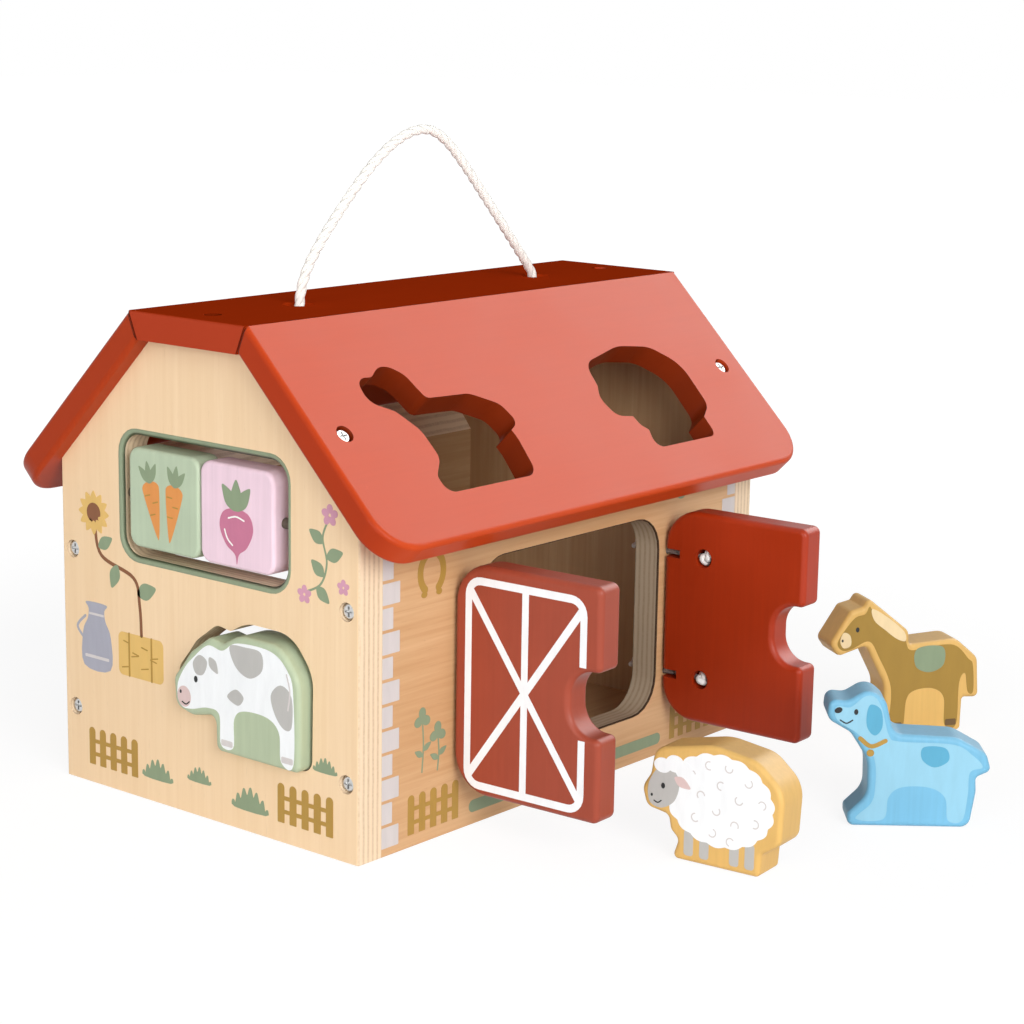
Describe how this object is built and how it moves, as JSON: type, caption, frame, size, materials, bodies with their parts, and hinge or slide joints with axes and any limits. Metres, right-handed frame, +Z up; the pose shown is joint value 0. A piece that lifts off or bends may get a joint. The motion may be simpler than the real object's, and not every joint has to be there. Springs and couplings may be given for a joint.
{
  "type": "toy farmhouse shape sorter",
  "caption": "Wooden toy farmhouse with a pitched red roof, cord-hinged double doors, spinning picture tiles, animal cut-outs with matching animal pieces, and a rope handle.",
  "frame": {"origin": "centre of the house's flat base, at the height of the table", "axes": "+X along the front wall towards the right gable, -Y out of the front doors, +Z up"},
  "size_m": [0.3162, 0.3246, 0.2539],
  "materials": {
    "birch_ply": "clear satin lacquer on birch plywood",
    "red_paint": "satin paint on plywood",
    "green_paint": "satin paint on wood",
    "pink_paint": "satin paint on wood",
    "sage_paint": "satin paint on wood",
    "ochre_paint": "satin paint on wood",
    "blue_paint": "satin paint on wood",
    "axle_wood": "bare hardwood dowel",
    "cotton_rope": "twisted cotton",
    "white_cord": "braided cotton cord",
    "screw_steel": "bright zinc-plated steel"
  },
  "bodies": {
    "house": {"left_gable_panel": "birch_ply", "right_gable_panel": "birch_ply", "front_wall": "birch_ply", "back_wall": "birch_ply", "floor_panel": "birch_ply", "roof_front_slope": "red_paint", "roof_back_slope": "red_paint", "roof_top_panel": "red_paint", "left_gable_screws": "screw_steel", "right_gable_screws": "screw_steel", "roof_front_screws": "screw_steel", "roof_back_screws": "screw_steel", "roof_top_screws": "screw_steel", "tile_axle": "axle_wood", "rope_handle": "cotton_rope", "rope_knots": "cotton_rope", "left_wall_cords": "white_cord", "right_wall_cords": "white_cord"},
    "left_door_leaf": {"left_door": "red_paint", "left_door_cords": "white_cord"},
    "right_door_leaf": {"right_door": "red_paint", "right_door_cords": "white_cord"},
    "green_tile": {"green_tile": "green_paint"},
    "pink_tile": {"pink_tile": "pink_paint"},
    "cow": {"cow_piece": "sage_paint"},
    "sheep": {"sheep_piece": "ochre_paint"},
    "dog": {"dog_piece": "blue_paint"},
    "horse": {"horse_piece": "ochre_paint"}
  },
  "joints": [
    {"name": "left_door_hinge", "type": "hinge", "parent": "house", "child": "left_door_leaf", "pos_m": [-0.062, -0.0828, 0.06], "axis": [0, 0, 1], "range_deg": [-7.5, 87.5]},
    {"name": "right_door_hinge", "type": "hinge", "parent": "house", "child": "right_door_leaf", "pos_m": [0.062, -0.0828, 0.06], "axis": [0, 0, 1], "range_deg": [-92.5, 2.5]},
    {"name": "green_tile_spin", "type": "hinge", "parent": "house", "child": "green_tile", "pos_m": [-0.1155, 0.0193, 0.118], "axis": [0, 1, 0], "continuous": true},
    {"name": "pink_tile_spin", "type": "hinge", "parent": "house", "child": "pink_tile", "pos_m": [-0.1155, -0.0193, 0.118], "axis": [0, 1, 0], "continuous": true},
    {"name": "cow_slide", "type": "slide", "parent": "house", "child": "cow", "axis": [-1, 0, 0], "range_m": [-0.03, 0.06]},
    {"name": "sheep_lift", "type": "slide", "parent": "house", "child": "sheep", "axis": [0, 0, 1], "range_m": [0, 0.1]},
    {"name": "dog_lift", "type": "slide", "parent": "house", "child": "dog", "axis": [0, 0, 1], "range_m": [0, 0.1]},
    {"name": "horse_lift", "type": "slide", "parent": "house", "child": "horse", "axis": [0, 0, 1], "range_m": [0, 0.1]}
  ]
}
